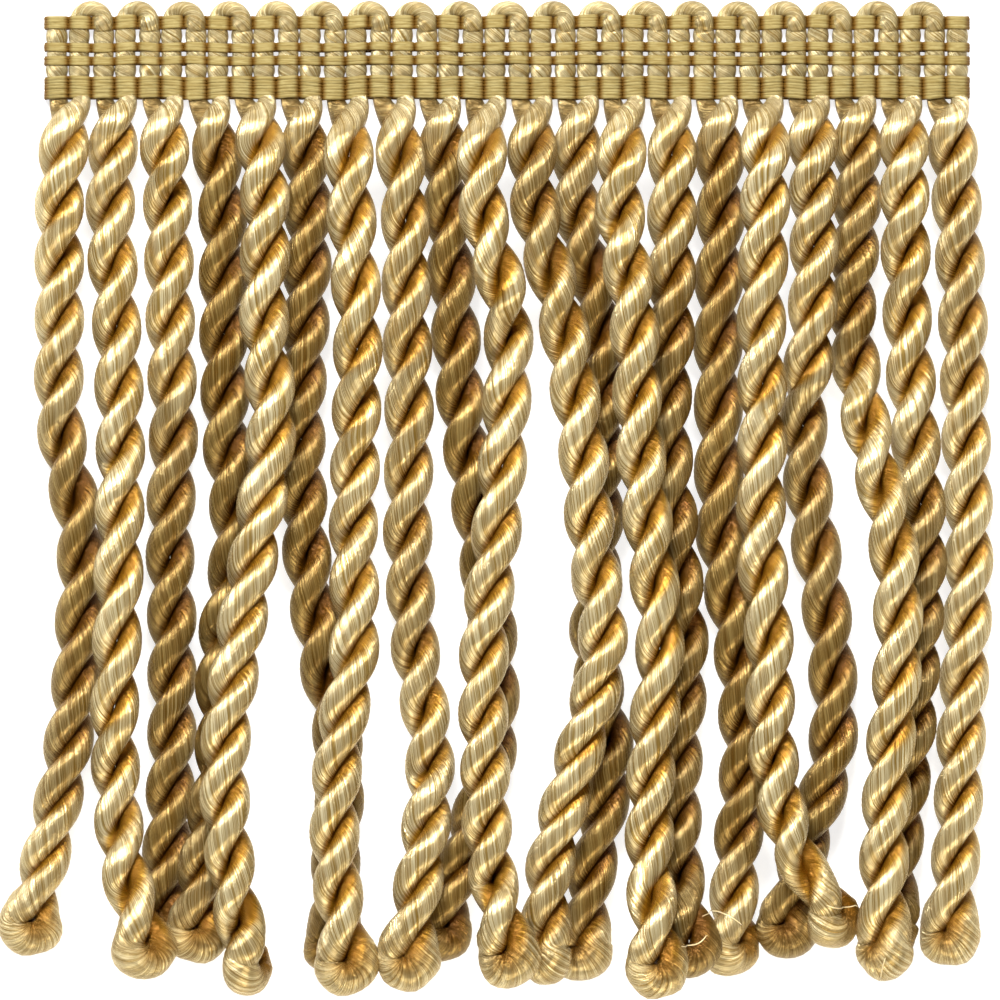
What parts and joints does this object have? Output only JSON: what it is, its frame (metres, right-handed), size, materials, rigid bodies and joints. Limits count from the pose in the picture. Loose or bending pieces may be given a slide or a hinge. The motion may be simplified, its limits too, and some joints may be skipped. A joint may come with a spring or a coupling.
{
  "type": "cord fringe trim",
  "caption": "Flat length of bullion fringe: a ribbed woven heading with a scalloped edge, and a row of crossing twisted two-ply cords that end in loops.",
  "frame": {"origin": "middle of the heading's flat back, where the trim is sewn or glued on", "axes": "+X along the heading, -Y down the cords to their loops, +Z out of the face of the trim; it lies on its back on z = 0"},
  "size_m": [0.1526, 0.1526, 0.0202],
  "materials": {
    "heading_yarn": "shiny gold filament yarn woven over with duller khaki warps",
    "bullion_yarn": "shiny gold filament yarn, two plies twisted to a cord"
  },
  "bodies": {
    "root": {"heading": "heading_yarn", "fringe": "bullion_yarn"}
  },
  "joints": []
}
